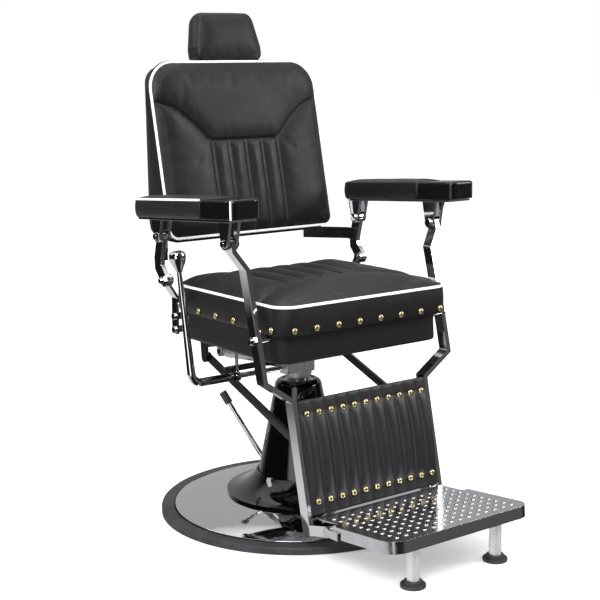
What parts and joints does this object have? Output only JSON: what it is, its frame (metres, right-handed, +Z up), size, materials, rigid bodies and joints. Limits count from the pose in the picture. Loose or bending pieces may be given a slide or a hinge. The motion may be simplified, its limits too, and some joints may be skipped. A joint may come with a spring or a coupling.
{
  "type": "hydraulic barber chair",
  "caption": "Hydraulic barber chair with a padded reclining back, headrest, linked armrests, calf panel, folding footrest, hand lever, pump pedal and round base.",
  "frame": {"origin": "centre of the base's flat underside on the lift column's axis, on the floor", "axes": "+Z up along the lift column, the chair faces -Y, the hand lever is on the -X side"},
  "size_m": [0.718, 0.959, 1.2349],
  "materials": {
    "chrome": "polished",
    "tread_plate": "polished, with raised studs",
    "black_vinyl": "soft satin",
    "black_enamel": "high gloss",
    "black_plastic": "gloss",
    "black_steel": "satin",
    "rubber": "matt",
    "plywood": "sanded",
    "cast_alloy": "as cast",
    "zinc_steel": "zinc plated",
    "brass": "antiqued"
  },
  "bodies": {
    "base": {"base_pan": "black_steel", "base_rim": "rubber", "base_plate": "chrome", "bell_cover": "black_enamel", "cone_cover": "black_enamel", "pump_cylinder": "cast_alloy", "pump_bolts": "zinc_steel", "gland_nut": "cast_alloy", "pedal_yoke": "cast_alloy"},
    "pedal": {"pedal_arm": "chrome", "pedal_pad": "rubber"},
    "column": {"piston_rod": "chrome", "thrust_bearing": "zinc_steel"},
    "seat": {"head_casting": "cast_alloy", "seat_board": "plywood", "seat_cushion": "black_vinyl", "seat_apron": "black_vinyl", "seat_nails": "brass", "pivot_bolts": "chrome", "pivot_spacers": "chrome", "dome_nuts": "chrome", "rear_brackets": "chrome", "bracket_bolts": "chrome", "rocker_bearings": "black_steel", "lock_bracket": "black_steel", "lever_support": "black_steel", "lever_hanger": "chrome"},
    "lever": {"hand_lever": "chrome", "lever_knob": "chrome"},
    "leg_frame": {"front_bar_left": "chrome", "front_bar_right": "chrome", "leg_cross_tubes": "chrome", "calf_board": "plywood", "calf_pad": "black_vinyl", "calf_nails": "brass"},
    "footrest": {"footrest_plate": "tread_plate", "footrest_legs": "chrome", "footrest_glides": "rubber"},
    "back": {"side_bar_left": "chrome", "side_bar_right": "chrome", "back_brackets": "black_steel", "back_board": "plywood", "back_cushion": "black_vinyl", "headrest_socket": "black_steel"},
    "headrest": {"headrest_post": "chrome", "headrest_pad": "black_vinyl"},
    "arm_left": {"arm_pad_left": "black_vinyl", "arm_cap_left": "black_plastic", "arm_base_left": "chrome", "arm_bolts_left": "chrome"},
    "arm_right": {"arm_pad_right": "black_vinyl", "arm_cap_right": "black_plastic", "arm_base_right": "chrome", "arm_bolts_right": "chrome"},
    "rocker": {"rocker": "black_steel"},
    "link_left": {"link_left": "black_steel"},
    "link_right": {"link_right": "black_steel"},
    "lock_cylinder": {"lock_cylinder": "zinc_steel"},
    "lock_rod": {"lock_rod": "zinc_steel"}
  },
  "joints": [
    {"name": "lift", "type": "slide", "parent": "base", "child": "column", "axis": [0, 0, 1], "range_m": [0, 0.15]},
    {"name": "swivel", "type": "hinge", "parent": "column", "child": "seat", "pos_m": [0, 0, 0.34], "axis": [0, 0, 1], "continuous": true},
    {"name": "recline", "type": "hinge", "parent": "seat", "child": "back", "pos_m": [0, 0.1215, 0.596], "axis": [-1, 0, 0], "range_deg": [0, 35]},
    {"name": "leg_swing", "type": "hinge", "parent": "seat", "child": "leg_frame", "pos_m": [0, -0.219, 0.4985], "axis": [-1, 0, 0], "range_deg": [0, 17]},
    {"name": "arm_tilt_left", "type": "hinge", "parent": "back", "child": "arm_left", "pos_m": [-0.302, 0.1325, 0.702], "axis": [-1, 0, 0], "range_deg": [-35.5, 0]},
    {"name": "arm_tilt_right", "type": "hinge", "parent": "back", "child": "arm_right", "pos_m": [0.302, 0.1325, 0.702], "axis": [-1, 0, 0], "range_deg": [-35.5, 0]},
    {"name": "rocker_turn", "type": "hinge", "parent": "seat", "child": "rocker", "pos_m": [0, 0.083, 0.44], "axis": [-1, 0, 0], "range_deg": [0, 56.5]},
    {"name": "link_turn_left", "type": "hinge", "parent": "rocker", "child": "link_left", "pos_m": [-0.186, 0.1235, 0.39], "axis": [-1, 0, 0], "range_deg": [-51, 0]},
    {"name": "link_turn_right", "type": "hinge", "parent": "rocker", "child": "link_right", "pos_m": [0.186, 0.1235, 0.39], "axis": [-1, 0, 0], "range_deg": [-51, 0]},
    {"name": "lock_turn", "type": "hinge", "parent": "rocker", "child": "lock_cylinder", "pos_m": [-0.16, 0.102, 0.405], "axis": [-1, 0, 0], "range_deg": [-54.5, 0]},
    {"name": "lock_stroke", "type": "slide", "parent": "lock_cylinder", "child": "lock_rod", "axis": [0, 0.9955, -0.095], "range_m": [0, 0.037]},
    {"name": "lever_swing", "type": "hinge", "parent": "seat", "child": "lever", "pos_m": [-0.3, -0.035, 0.374], "axis": [-1, 0, 0], "range_deg": [-12, 16]},
    {"name": "footrest_fold", "type": "hinge", "parent": "leg_frame", "child": "footrest", "pos_m": [0, -0.384, 0.084], "axis": [-1, 0, 0], "range_deg": [0, 80]},
    {"name": "headrest_height", "type": "slide", "parent": "back", "child": "headrest", "axis": [0, 0.2045, 0.9789], "range_m": [0, 0.06]},
    {"name": "pedal_press", "type": "hinge", "parent": "base", "child": "pedal", "pos_m": [-0.03972, 0.05271, 0.068], "axis": [-0.7986, -0.6018, 0], "range_deg": [0, 12], "stiffness_Nm_per_rad": 6, "springref_deg": -20.05}
  ],
  "couplings": [
    {"joint": "leg_swing", "follows": "recline", "ratio": 0.48},
    {"joint": "arm_tilt_left", "follows": "recline", "ratio": -1.009},
    {"joint": "arm_tilt_right", "follows": "recline", "ratio": -1.009},
    {"joint": "rocker_turn", "follows": "recline", "ratio": 1.6},
    {"joint": "link_turn_left", "follows": "recline", "ratio": -1.446},
    {"joint": "link_turn_right", "follows": "recline", "ratio": -1.446},
    {"joint": "lock_turn", "follows": "recline", "ratio": -1.5504},
    {"joint": "lock_stroke", "follows": "recline", "m_per_rad": 0.05995}
  ]
}
